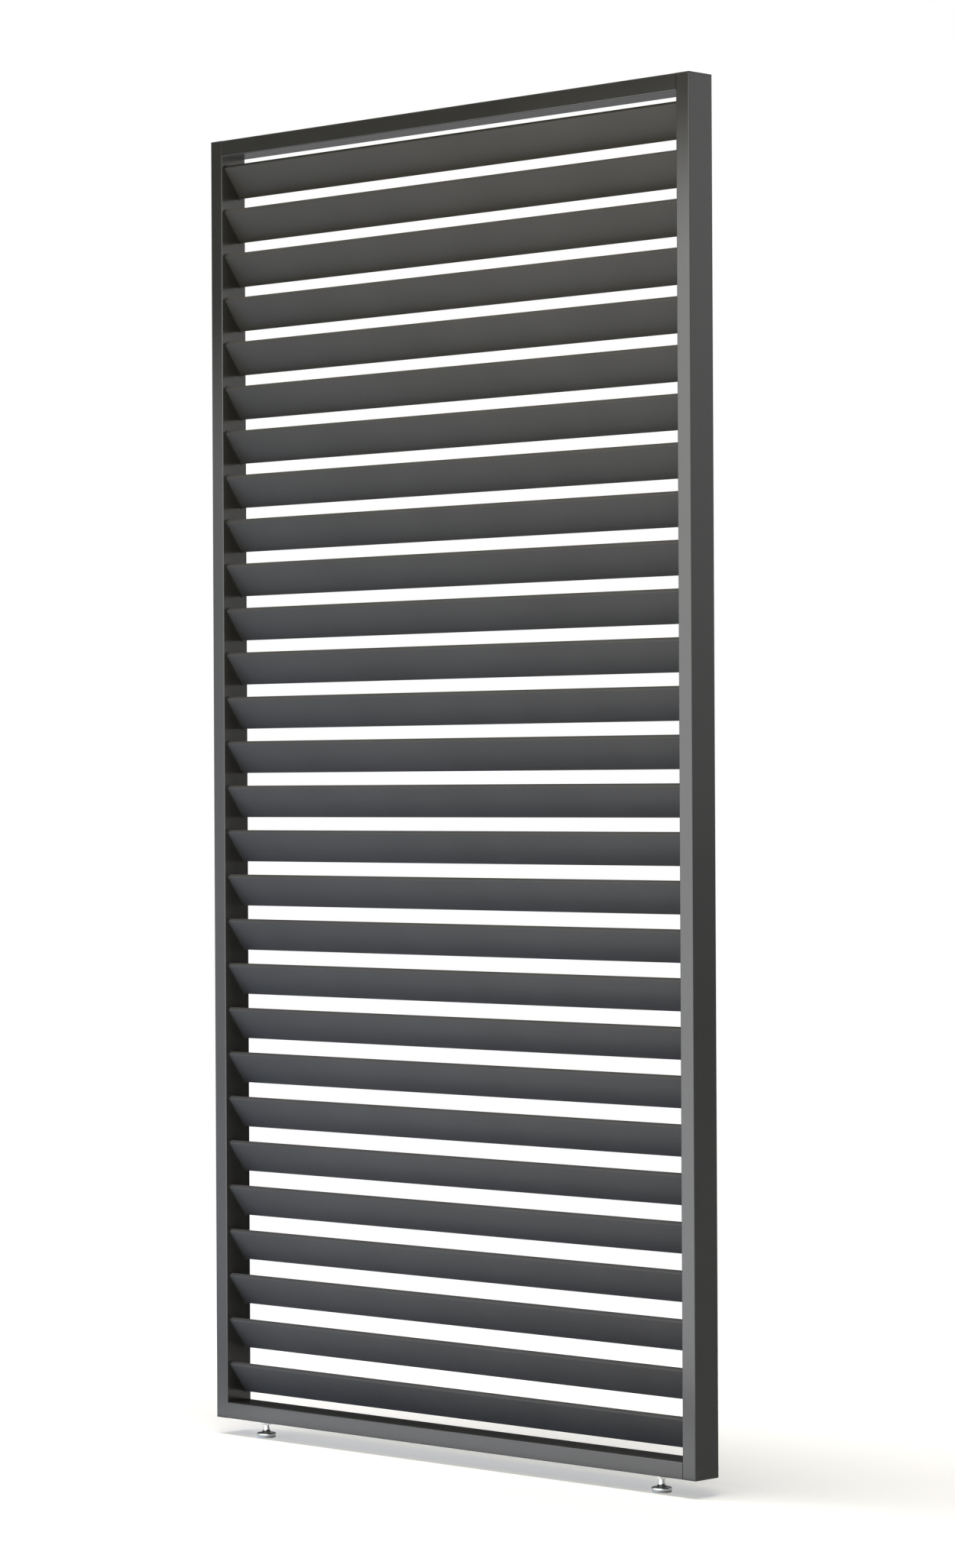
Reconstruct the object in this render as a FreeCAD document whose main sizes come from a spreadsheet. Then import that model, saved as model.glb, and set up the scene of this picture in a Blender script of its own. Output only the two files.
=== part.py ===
import FreeCAD, Part
import math
import os
from enum import IntEnum

import Sketcher

# Louvred privacy screen: four rectangular tubes frame a ladder of fixed slats that lean forward,
# and two screw feet under the bottom rail level it.
# Millimetres, +Z up, front towards -Y. The origin is on the floor, under the middle of the frame.

# Driving dimensions: name, value, meaning
DIMENSIONS = [
    ("frame_width", "1000", "over the outer sides of the two stiles"),
    ("frame_height", "2000", "from under the bottom rail to the top of the top rail"),
    ("tube_face", "25", "frame tube, the side seen from the front"),
    ("tube_depth", "50", "frame tube, from front to back"),
    ("tube_wall", "2", "frame tube, wall"),
    ("tube_edge_radius", "1.5", "frame tube, rounding of its long edges"),
    ("slat_count", "28", "slats in the frame"),
    ("slat_setback", "5.5", "from the frame's front and back to the slats"),
    ("slat_tilt", "36.5", "slat, lean of the upper edge to the front, in degrees from upright"),
    ("slat_thickness", "8", "slat, over its two faces"),
    ("slat_wall", "1.2", "slat, wall of the hollow section"),
    ("slat_edge_radius", "2.5", "slat, rounding of its long edges"),
    ("slat_inner_radius", "1", "slat, rounding inside the hollow"),
    ("slat_end_gap", "13.5", "free height between a rail and the slat next to it"),
    ("slat_end_play", "1", "between a slat's end and the outer wall of the stile"),
    ("slat_fit", "0.15", "clearance between a slat and its sleeve"),
    ("sleeve_wall", "0.8", "slat sleeve, wall"),
    ("sleeve_depth", "10", "slat sleeve, reach into the stile from its inner side"),
    ("sleeve_rim_width", "1.2", "slat sleeve, rim beyond the sleeve's wall"),
    ("sleeve_rim_thickness", "0.8", "slat sleeve, rim on the stile's inner side"),
    ("slot_fit", "0.1", "clearance between a sleeve and the slot in the stile"),
    ("cap_plate", "2.5", "end cap, plate on the end of a stile"),
    ("cap_lug_length", "12", "end cap, reach of its lugs into the stile"),
    ("cap_lug_thickness", "2", "end cap, lug"),
    ("cap_fit", "0.2", "clearance between a cap's lugs and the stile's walls"),
    ("plug_length", "30", "rail plug, reach into the rail"),
    ("plug_fit", "0.1", "clearance between a plug and the rail's walls"),
    ("plug_chamfer", "1.5", "rail plug, lead-in on its inner end"),
    ("screw_diameter", "5", "corner screw, thread"),
    ("screw_length", "22", "corner screw, under its head"),
    ("screw_head_diameter", "9.5", "corner screw, head"),
    ("screw_head_height", "2.7", "corner screw, head"),
    ("screw_socket", "3", "corner screw, hexagon across flats"),
    ("screw_socket_depth", "1.6", "corner screw, hexagon"),
    ("screw_inset", "10", "from the inside of a tube's front and back walls to a corner screw"),
    ("screw_hole_fit", "0.25", "clearance between a corner screw and its hole in the stile"),
    ("thread_fit", "0.08", "clearance between a thread and what it is screwed or pressed into"),
    ("foot_inset", "87", "from the frame's outer side to the axis of a foot"),
    ("foot_out", "2", "how far a foot is screwed out at rest"),
    ("insert_wall", "1.4", "threaded insert, wall round the thread"),
    ("insert_flange_width", "2", "threaded insert, flange beyond the shank"),
    ("insert_flange_thickness", "1.2", "threaded insert, flange under the rail"),
    ("insert_bulge_width", "1.3", "threaded insert, set bulge beyond the shank"),
    ("insert_bulge_height", "3", "threaded insert, set bulge above the rail's wall"),
    ("insert_length", "15", "threaded insert, above its flange"),
    ("insert_hole_fit", "0.1", "clearance between an insert and its hole"),
    ("stud_diameter", "8", "foot stud, thread"),
    ("stud_top_gap", "1.2", "from a fully screwed-in stud to the rail's upper wall"),
    ("stud_chamfer", "1", "foot stud, tip"),
    ("spigot_step", "1", "foot stud, step from the thread to its plain lower end"),
    ("spigot_length", "10", "foot stud, plain end pressed into the foot"),
    ("collar_across_flats", "13", "foot, hexagon for a spanner"),
    ("collar_height", "4", "foot, hexagon for a spanner"),
    ("neck_wall", "1.7", "foot, wall of the neck round the stud's plain end"),
    ("neck_length", "6.6", "foot, straight part of the neck"),
    ("flare_radius", "4.6", "foot, hollow curve from the neck to the disc"),
    ("disc_diameter", "30", "foot, disc"),
    ("disc_height", "4.6", "foot, disc under the hollow curve"),
    ("disc_crown", "0.9", "foot, fall of the disc's top to its rim"),
    ("disc_edge_radius", "1.5", "foot, rounding of the disc's upper rim"),
    ("disc_chamfer", "0.4", "foot, lower rim of the disc"),
    ("glide_setback", "0.5", "from the disc's rim to the glide's rim"),
    ("glide_height", "3", "glide, pad under the disc"),
    ("glide_chamfer", "0.6", "glide, lower rim"),
    ("glide_pin_diameter", "8", "glide, pin in the foot"),
    ("glide_pin_length", "4", "glide, pin in the foot"),
    ("glide_pin_fit", "0.1", "running clearance round the glide's pin"),
    ("bore_end_gap", "0.3", "free depth beyond the end of a pin or spigot"),
]

# Sizes that follow from the driving dimensions: name, formula, meaning
DERIVED = [
    ("rail_length", "=Dimensions.frame_width - 2 * Dimensions.tube_face", "between the stiles"),
    ("rail_middle", "=Dimensions.tube_face / 2", "middle of a rail, from the frame's edge"),
    ("stile_length", "=Dimensions.frame_height - 2 * Dimensions.cap_plate", "between the end caps"),
    ("stile_x", "=(Dimensions.frame_width - Dimensions.tube_face) / 2", "middle of a stile"),
    ("inner_face", "=Dimensions.tube_face - 2 * Dimensions.tube_wall", "inside a frame tube"),
    ("inner_depth", "=Dimensions.tube_depth - 2 * Dimensions.tube_wall", "inside a frame tube"),
    ("screw_y", "=inner_depth / 2 - Dimensions.screw_inset", "corner screw, from the tube's middle"),
    ("foot_x", "=Dimensions.frame_width / 2 - Dimensions.foot_inset", "axis of a foot"),
    (
        "base_height",
        "=Dimensions.disc_height + Dimensions.flare_radius + Dimensions.neck_length"
        " + Dimensions.collar_height",
        "foot without its glide",
    ),
    ("collar_top", "=Dimensions.glide_height + base_height", "height of the foot's upper face"),
    (
        "frame_bottom",
        "=collar_top + Dimensions.foot_out + Dimensions.insert_flange_thickness",
        "height of the bottom rail's underside",
    ),
    ("frame_top", "=frame_bottom + Dimensions.frame_height", "height of the top rail's upper side"),
    ("stile_foot", "=frame_bottom + Dimensions.cap_plate", "height of a stile's lower end"),
    (
        "slat_chord",
        "=(Dimensions.tube_depth - 2 * Dimensions.slat_setback - 2 * Dimensions.slat_edge_radius"
        " - (Dimensions.slat_thickness - 2 * Dimensions.slat_edge_radius) * cos(Dimensions.slat_tilt))"
        " / sin(Dimensions.slat_tilt) + 2 * Dimensions.slat_edge_radius",
        "slat, from upper edge to lower edge",
    ),
    (
        "slat_rise",
        "=(slat_chord - 2 * Dimensions.slat_edge_radius) * cos(Dimensions.slat_tilt)"
        " + (Dimensions.slat_thickness - 2 * Dimensions.slat_edge_radius) * sin(Dimensions.slat_tilt)"
        " + 2 * Dimensions.slat_edge_radius",
        "height that a leaning slat takes up",
    ),
    (
        "slat_pitch",
        "=(Dimensions.frame_height - 2 * Dimensions.tube_face - 2 * Dimensions.slat_end_gap - slat_rise)"
        " / (Dimensions.slat_count - 1)",
        "from slat to slat",
    ),
    (
        "first_slat_z",
        "=frame_bottom + Dimensions.tube_face + Dimensions.slat_end_gap + slat_rise / 2",
        "middle of the lowest slat",
    ),
    (
        "slat_length",
        "=Dimensions.frame_width - 2 * Dimensions.tube_wall - 2 * Dimensions.slat_end_play",
        "slat with both its ends in the stiles",
    ),
    ("sleeve_grow", "=2 * (Dimensions.slat_fit + Dimensions.sleeve_wall)", "sleeve over slat"),
    ("slot_grow", "=sleeve_grow + 2 * Dimensions.slot_fit", "slot over slat"),
    ("rim_grow", "=sleeve_grow + 2 * Dimensions.sleeve_rim_width", "sleeve's rim over slat"),
    ("thread_bore", "=Dimensions.stud_diameter + 2 * Dimensions.thread_fit", "insert, bore"),
    ("insert_shank", "=thread_bore + 2 * Dimensions.insert_wall", "insert, through the rail's wall"),
    (
        "stud_length",
        "=Dimensions.insert_flange_thickness + Dimensions.tube_face - Dimensions.tube_wall"
        " - Dimensions.stud_top_gap",
        "foot stud, above the collar",
    ),
    ("spigot_diameter", "=Dimensions.stud_diameter - 2 * Dimensions.spigot_step", "stud, plain end"),
    ("spigot_bore", "=spigot_diameter + 2 * Dimensions.thread_fit", "foot, bore for the stud"),
    ("neck_diameter", "=spigot_bore + 2 * Dimensions.neck_wall", "foot, neck"),
    ("glide_diameter", "=Dimensions.disc_diameter - 2 * Dimensions.glide_setback", "glide, pad"),
]

# Sides of the screen, with the sign of x, and ends of its stiles
SIDES = (("left", -1), ("right", 1))
ENDS = ("bottom", "top")

SAME_PLACE = 1e-9
HEXAGON_CORNERS = 6
HALF_TURN = "180"
X_DIRECTION = FreeCAD.Vector(1, 0, 0)
Z_DIRECTION = FreeCAD.Vector(0, 0, 1)

doc = FreeCAD.newDocument("louvred_privacy_screen")
sub_parts = []


class CurvePoint(IntEnum):
    """How a constraint names a point of a curve."""

    START = 1
    END = 2
    CENTRE = 3


class SketchAxis(IntEnum):
    """How a constraint names a sketch's own axes. The horizontal one starts at the sketch's origin."""

    HORIZONTAL = -1
    VERTICAL = -2


def fill_sheet(name, rows):
    """A sheet with a row for each size: its name, its value under that alias, and its meaning."""
    sheet = doc.addObject("Spreadsheet::Sheet", name)
    for row, (alias, content, meaning) in enumerate(rows, start=1):
        sheet.set(f"A{row}", alias)
        sheet.set(f"B{row}", content)
        sheet.setAlias(f"B{row}", alias)
        sheet.set(f"C{row}", meaning)
    doc.recompute()
    return sheet


dimensions = fill_sheet("Dimensions", DIMENSIONS)
derived = fill_sheet("Derived", DERIVED)


def value_of(expression):
    """The present value of an expression over the two sheets."""
    return float(derived.evalExpression(expression))


def new_body(label):
    body = doc.addObject("PartDesign::Body", label)
    body.Label = label
    return body


def origin_feature(body, role):
    return next(feature for feature in body.Origin.OriginFeatures if feature.Role == role)


def set_placement(item, name, x, y, z, axis, turn):
    """Sets one of an item's placements, a turn in degrees and then a shift, and ties it to expressions."""
    shift = FreeCAD.Vector(value_of(x), value_of(y), value_of(z))
    setattr(item, name, FreeCAD.Placement(shift, FreeCAD.Rotation(axis, value_of(turn))))
    for path, expression in (("Base.x", x), ("Base.y", y), ("Base.z", z), ("Rotation.Angle", turn)):
        if expression != "0":
            item.setExpression(f"{name}.{path}", expression)


def place(part, x="0", y="0", z="0", axis=Z_DIRECTION, turn="0"):
    """Puts a part in its place and adds it to the sub-parts."""
    set_placement(part, "Placement", x, y, z, axis, turn)
    sub_parts.append(part)


def new_sketch(body, plane, y="0", z="0", turn="0"):
    """A sketch on one of the body's own planes, moved up in it or off it, and turned in it."""
    sketch = body.newObject("Sketcher::SketchObject", f"{body.Name}_sketch")
    sketch.AttachmentSupport = [(origin_feature(body, plane), "")]
    sketch.MapMode = "FlatFace"
    set_placement(sketch, "AttachmentOffset", "0", y, z, Z_DIRECTION, turn)
    return sketch


def add_constraints(sketch, constraints):
    """Adds constraints to a sketch, each with the expression that drives it, or None."""
    numbers = sketch.addConstraint([constraint for constraint, _ in constraints])
    for number, (_, expression) in zip(numbers, constraints):
        if expression:
            sketch.setExpression(f"Constraints[{number}]", expression)


def hold_point(curve, point, x, y):
    """The constraints that hold a point of a curve at x and y, measured from the sketch's origin."""
    constraints = []
    origin = (SketchAxis.HORIZONTAL, CurvePoint.START)
    for kind, axis, expression in (
        ("DistanceX", SketchAxis.VERTICAL, x),
        ("DistanceY", SketchAxis.HORIZONTAL, y),
    ):
        distance = value_of(expression)
        if abs(distance) < SAME_PLACE:
            constraints.append((Sketcher.Constraint("PointOnObject", curve, point, axis), None))
        elif distance > 0:
            held = Sketcher.Constraint(kind, *origin, curve, point, distance)
            constraints.append((held, expression))
        else:
            held = Sketcher.Constraint(kind, curve, point, *origin, -distance)
            constraints.append((held, f"-({expression})"))
    return constraints


def arc_between(first, last, radius, bends_left):
    """The short arc of that radius from first to last, and its points at first and at last."""
    chord = last - first
    middle = (first + last) * 0.5
    offset = math.sqrt(max(radius**2 - (chord.Length / 2) ** 2, 0))
    to_left = FreeCAD.Vector(-chord.y, chord.x, 0).normalize()
    centre = middle + to_left * (offset if bends_left else -offset)
    start, end = (first, last) if bends_left else (last, first)
    start_angle = math.atan2(start.y - centre.y, start.x - centre.x)
    end_angle = math.atan2(end.y - centre.y, end.x - centre.x)
    curve = Part.ArcOfCircle(Part.Circle(centre, Z_DIRECTION, radius), start_angle, end_angle)
    if bends_left:
        return curve, CurvePoint.START, CurvePoint.END
    return curve, CurvePoint.END, CurvePoint.START


def draw_outline(sketch, corners, arcs):
    """A closed outline through corners, pairs of expressions. A run is straight, or, if arcs has its
    number, an arc: (radius, whether it bends to the left)."""
    points = [FreeCAD.Vector(value_of(x), value_of(y), 0) for x, y in corners]
    constraints = []
    runs = []
    for number, first in enumerate(points):
        last = points[(number + 1) % len(points)]
        if number in arcs:
            radius, bends_left = arcs[number]
            curve, near_end, far_end = arc_between(first, last, value_of(radius), bends_left)
            index = sketch.addGeometry(curve, False)
            constraints.append((Sketcher.Constraint("Radius", index, value_of(radius)), radius))
        else:
            near_end, far_end = CurvePoint.START, CurvePoint.END
            index = sketch.addGeometry(Part.LineSegment(first, last), False)
        runs.append((index, near_end, far_end))
    for number, (index, near_end, far_end) in enumerate(runs):
        following, its_near_end, _ = runs[(number + 1) % len(runs)]
        joined = Sketcher.Constraint("Coincident", index, far_end, following, its_near_end)
        constraints.append((joined, None))
        constraints += hold_point(index, near_end, *corners[number])
    add_constraints(sketch, constraints)


def draw_rectangle(sketch, width, height, y="0"):
    """A rectangle about the sketch's origin, or about a point above or below it."""
    right = f"({width}) / 2"
    low = f"{y} - ({height}) / 2"
    high = f"{y} + ({height}) / 2"
    corners = [(f"-{right}", low), (right, low), (right, high), (f"-{right}", high)]
    draw_outline(sketch, corners, {})


def draw_rounded_rectangle(sketch, width, height, radius):
    """A rectangle with rounded corners about the sketch's origin."""
    right = f"({width}) / 2"
    top = f"({height}) / 2"
    arc_right = f"({right} - ({radius}))"
    arc_top = f"({top} - ({radius}))"
    corners = [
        (f"-{arc_right}", f"-{top}"),
        (arc_right, f"-{top}"),
        (right, f"-{arc_top}"),
        (right, arc_top),
        (arc_right, top),
        (f"-{arc_right}", top),
        (f"-{right}", arc_top),
        (f"-{right}", f"-{arc_top}"),
    ]
    corner_runs = range(1, len(corners), 2)
    draw_outline(sketch, corners, {number: (radius, True) for number in corner_runs})


def draw_hexagon(sketch, across_flats):
    """A regular hexagon about the sketch's origin, with two of its corners on the horizontal axis."""
    reach = f"{across_flats} / sqrt(3)"
    angles = [f"{step} * 360 / {HEXAGON_CORNERS}" for step in range(HEXAGON_CORNERS)]
    draw_outline(sketch, [(f"{reach} * cos({angle})", f"{reach} * sin({angle})") for angle in angles], {})


def draw_circle(sketch, diameter, x="0", y="0"):
    centre = FreeCAD.Vector(value_of(x), value_of(y), 0)
    circle = sketch.addGeometry(Part.Circle(centre, Z_DIRECTION, value_of(diameter) / 2), False)
    size = (Sketcher.Constraint("Diameter", circle, value_of(diameter)), diameter)
    add_constraints(sketch, [size, *hold_point(circle, CurvePoint.CENTRE, x, y)])


def add_extrusion(kind, body, sketch, length, symmetric, reverse):
    feature = body.newObject(f"PartDesign::{kind}", f"{body.Name}_{kind.lower()}")
    feature.Profile = sketch
    feature.SideType = "Symmetric" if symmetric else "One side"
    feature.Reversed = reverse
    feature.setExpression("Length", length)
    return feature


def pad(body, sketch, length, symmetric=False, reverse=False):
    return add_extrusion("Pad", body, sketch, length, symmetric, reverse)


def pocket(body, sketch, length, reverse=False):
    return add_extrusion("Pocket", body, sketch, length, False, reverse)


def revolve(body, corners, arcs):
    """A solid of revolution about the body's Z axis: corners are pairs of radius and height."""
    sketch = new_sketch(body, "XZ_Plane")
    draw_outline(sketch, corners, arcs)
    feature = body.newObject("PartDesign::Revolution", f"{body.Name}_revolution")
    feature.Profile = sketch
    feature.ReferenceAxis = (sketch, ["V_Axis"])


def repeat_at_slats(body, feature=None):
    """Repeats a feature at the lowest slat's place, or else the whole body, at every slat."""
    pattern = body.newObject("PartDesign::LinearPattern", f"{body.Name}_pattern")
    if feature:
        pattern.Originals = [feature]
    else:
        pattern.TransformMode = "Whole shape"
    pattern.Direction = (origin_feature(body, "Z_Axis"), [""])
    pattern.setExpression("Length", "Derived.slat_pitch * (Dimensions.slat_count - 1)")
    pattern.setExpression("Occurrences", "Dimensions.slat_count")
    body.Tip = pattern


def copy_of(body, label):
    """A body with the same shape, which follows the first one's sizes and has a place of its own."""
    copied = new_body(label)
    copied.newObject("PartDesign::FeatureBase", f"{label}_copy").BaseFeature = body
    return copied


def rail_height(end):
    """Height of the middle of a rail."""
    if end == "bottom":
        return "Derived.frame_bottom + Derived.rail_middle"
    return "Derived.frame_top - Derived.rail_middle"


def draw_slat_section(sketch, grow):
    """The slat's outer section, larger all round by half of grow."""
    draw_rounded_rectangle(
        sketch,
        f"Dimensions.slat_thickness + {grow}",
        f"Derived.slat_chord + {grow}",
        f"Dimensions.slat_edge_radius + {grow} / 2",
    )


def make_stile(side, sign):
    """A full-height tube, with a slot in its inner wall for each slat and holes for the corner screws.
    Cuts start at the middle of the tube and run to the inner side, so the outer wall stays whole."""
    stile = new_body(f"{side}_stile")
    section = new_sketch(stile, "XY_Plane")
    draw_rounded_rectangle(
        section, "Dimensions.tube_face", "Dimensions.tube_depth", "Dimensions.tube_edge_radius"
    )
    draw_rectangle(section, "Derived.inner_face", "Derived.inner_depth")
    pad(stile, section, "Derived.stile_length")
    holes = new_sketch(stile, "YZ_Plane")
    hole_diameter = "Dimensions.screw_diameter + 2 * Dimensions.screw_hole_fit"
    low_hole = "Derived.rail_middle - Dimensions.cap_plate"
    for height in (low_hole, f"Derived.stile_length - ({low_hole})"):
        for y in ("-Derived.screw_y", "Derived.screw_y"):
            draw_circle(holes, hole_diameter, y, height)
    pocket(stile, holes, "Dimensions.tube_face / 2", reverse=sign < 0)
    slot_height = "Derived.first_slat_z - Derived.stile_foot"
    slot_section = new_sketch(stile, "YZ_Plane", y=slot_height, turn="Dimensions.slat_tilt")
    draw_slat_section(slot_section, "Derived.slot_grow")
    slot = pocket(stile, slot_section, "Dimensions.tube_face / 2", reverse=sign < 0)
    repeat_at_slats(stile, slot)
    place(stile, x=f"{sign} * Derived.stile_x", z="Derived.stile_foot")


def make_rail(end):
    """A tube between the stiles. The bottom rail has a hole in its underside for each foot's insert."""
    rail = new_body(f"{end}_rail")
    section = new_sketch(rail, "YZ_Plane")
    draw_rounded_rectangle(
        section, "Dimensions.tube_depth", "Dimensions.tube_face", "Dimensions.tube_edge_radius"
    )
    draw_rectangle(section, "Derived.inner_depth", "Derived.inner_face")
    pad(rail, section, "Derived.rail_length", symmetric=True)
    if end == "bottom":
        holes = new_sketch(rail, "XY_Plane")
        for _, sign in SIDES:
            hole_diameter = "Derived.insert_shank + 2 * Dimensions.insert_hole_fit"
            draw_circle(holes, hole_diameter, x=f"{sign} * Derived.foot_x")
        pocket(rail, holes, "Dimensions.tube_face / 2")
    place(rail, z=rail_height(end))


def make_slats():
    """Hollow flat sections with rounded edges, upper edge leaning to the front. All are alike."""
    lowest = new_body("slat_01")
    section = new_sketch(lowest, "YZ_Plane")
    draw_slat_section(section, "0")
    draw_rounded_rectangle(
        section,
        "Dimensions.slat_thickness - 2 * Dimensions.slat_wall",
        "Derived.slat_chord - 2 * Dimensions.slat_wall",
        "Dimensions.slat_inner_radius",
    )
    pad(lowest, section, "Derived.slat_length", symmetric=True)
    for number in range(int(dimensions.slat_count)):
        slat = copy_of(lowest, f"slat_{number + 1:02d}") if number else lowest
        height = f"Derived.first_slat_z + {number} * Derived.slat_pitch"
        place(slat, z=height, axis=X_DIRECTION, turn="Dimensions.slat_tilt")


def make_slat_sleeves(side, sign):
    """A plastic sleeve for each slat's end: a short tube in the stile's slot, with a thin rim outside it."""
    sleeves = new_body(f"{side}_slat_sleeves")
    sleeves.AllowCompound = True
    for grow, length, reverse in (
        ("Derived.sleeve_grow", "Dimensions.sleeve_depth", sign < 0),
        ("Derived.rim_grow", "Dimensions.sleeve_rim_thickness", sign > 0),
    ):
        section = new_sketch(sleeves, "YZ_Plane", turn="Dimensions.slat_tilt")
        draw_slat_section(section, grow)
        draw_slat_section(section, "2 * Dimensions.slat_fit")
        pad(sleeves, section, length, reverse=reverse)
    repeat_at_slats(sleeves)
    place(sleeves, x=f"{sign} * Derived.rail_length / 2", z="Derived.first_slat_z")


def make_end_cap(side, sign, end):
    """A plate on the end of a stile, held by two lugs along the stile's front and back walls."""
    cap = new_body(f"{side}_{end}_cap")
    plate = new_sketch(cap, "XY_Plane")
    draw_rounded_rectangle(
        plate, "Dimensions.tube_face", "Dimensions.tube_depth", "Dimensions.tube_edge_radius"
    )
    pad(cap, plate, "Dimensions.cap_plate", reverse=True)
    lugs = new_sketch(cap, "XY_Plane")
    lug_y = "(Derived.inner_depth / 2 - Dimensions.cap_fit - Dimensions.cap_lug_thickness / 2)"
    lug_width = "Derived.inner_face - 2 * Dimensions.cap_fit"
    for y in (lug_y, f"-{lug_y}"):
        draw_rectangle(lugs, lug_width, "Dimensions.cap_lug_thickness", y)
    pad(cap, lugs, "Dimensions.cap_lug_length")
    height, turn = "Derived.stile_foot", "0"
    if end == "top":
        height, turn = "Derived.stile_foot + Derived.stile_length", HALF_TURN
    place(cap, x=f"{sign} * Derived.stile_x", z=height, axis=X_DIRECTION, turn=turn)


def make_rail_plug(side, sign, end):
    """A block in the end of a rail, with two bores that take the corner screws."""
    plug = new_body(f"{side}_{end}_rail_plug")
    section = new_sketch(plug, "YZ_Plane")
    plug_depth = "Derived.inner_depth - 2 * Dimensions.plug_fit"
    plug_face = "Derived.inner_face - 2 * Dimensions.plug_fit"
    draw_rectangle(section, plug_depth, plug_face)
    block = pad(plug, section, "Dimensions.plug_length", reverse=sign > 0)
    doc.recompute()
    inner_end = max(block.Shape.Faces, key=lambda face: abs(face.CenterOfMass.x))
    inner_edges = [
        f"Edge{number}"
        for number, edge in enumerate(block.Shape.Edges, start=1)
        if any(edge.isSame(other) for other in inner_end.Edges)
    ]
    lead_in = plug.newObject("PartDesign::Chamfer", f"{plug.Name}_chamfer")
    lead_in.Base = (block, inner_edges)
    lead_in.setExpression("Size", "Dimensions.plug_chamfer")
    bores = new_sketch(plug, "YZ_Plane")
    for y in ("-Derived.screw_y", "Derived.screw_y"):
        draw_circle(bores, "Dimensions.screw_diameter + 2 * Dimensions.thread_fit", y)
    pocket(plug, bores, "Dimensions.plug_length", reverse=sign < 0)
    place(plug, x=f"{sign} * Derived.rail_length / 2", z=rail_height(end))


def make_corner_screw(name, sign, y, height):
    """A flat-headed screw from inside the stile, through its inner wall, into the rail's plug."""
    screw = new_body(name)
    shank = new_sketch(screw, "YZ_Plane")
    draw_circle(shank, "Dimensions.screw_diameter")
    pad(screw, shank, "Dimensions.screw_length", reverse=sign > 0)
    head = new_sketch(screw, "YZ_Plane")
    draw_circle(head, "Dimensions.screw_head_diameter")
    pad(screw, head, "Dimensions.screw_head_height", reverse=sign < 0)
    socket = new_sketch(screw, "YZ_Plane", z=f"{sign} * Dimensions.screw_head_height")
    draw_hexagon(socket, "Dimensions.screw_socket")
    pocket(screw, socket, "Dimensions.screw_socket_depth", reverse=sign < 0)
    x = f"{sign} * (Derived.rail_length / 2 + Dimensions.tube_wall)"
    set_placement(screw, "Placement", x, y, height, Z_DIRECTION, "0")
    return screw


def make_corner_screws():
    """Two screws at each corner, all in one group."""
    screws = doc.addObject("Part::Compound", "corner_screws")
    screws.Label = "corner_screws"
    screws.Links = [
        make_corner_screw(f"{side}_{end}_{depth}_screw", sign, y, rail_height(end))
        for side, sign in SIDES
        for end in ENDS
        for depth, y in (("front", "-Derived.screw_y"), ("rear", "Derived.screw_y"))
    ]
    sub_parts.append(screws)


def make_foot_insert(side, sign):
    """A threaded bush set in the bottom rail: its flange lies under the wall and its bulge above it."""
    insert = new_body(f"{side}_foot_insert")
    bore = "Derived.thread_bore / 2"
    shank = "Derived.insert_shank / 2"
    flange = f"{shank} + Dimensions.insert_flange_width"
    bulge = f"{shank} + Dimensions.insert_bulge_width"
    wall_under = "Dimensions.insert_flange_thickness"
    wall_over = f"{wall_under} + Dimensions.tube_wall"
    bulge_over = f"{wall_over} + Dimensions.insert_bulge_height"
    top = f"{wall_under} + Dimensions.insert_length"
    corners = [
        (bore, "0"),
        (flange, "0"),
        (flange, wall_under),
        (shank, wall_under),
        (shank, wall_over),
        (bulge, wall_over),
        (bulge, bulge_over),
        (shank, bulge_over),
        (shank, top),
        (bore, top),
    ]
    revolve(insert, corners, {})
    place(insert, x=f"{sign} * Derived.foot_x", z="Derived.frame_bottom - Dimensions.insert_flange_thickness")


def make_foot_stud(side, sign):
    """A threaded rod, with a plain spigot below that is pressed into the foot."""
    stud = new_body(f"{side}_foot_stud")
    spigot = "Derived.spigot_diameter / 2"
    thread = "Dimensions.stud_diameter / 2"
    shoulder = "Dimensions.spigot_length"
    top = f"{shoulder} + Derived.stud_length"
    corners = [
        ("0", "0"),
        (spigot, "0"),
        (spigot, shoulder),
        (thread, shoulder),
        (thread, f"{top} - Dimensions.stud_chamfer"),
        (f"{thread} - Dimensions.stud_chamfer", top),
        ("0", top),
    ]
    revolve(stud, corners, {})
    place(stud, x=f"{sign} * Derived.foot_x", z="Derived.collar_top - Dimensions.spigot_length")


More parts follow.
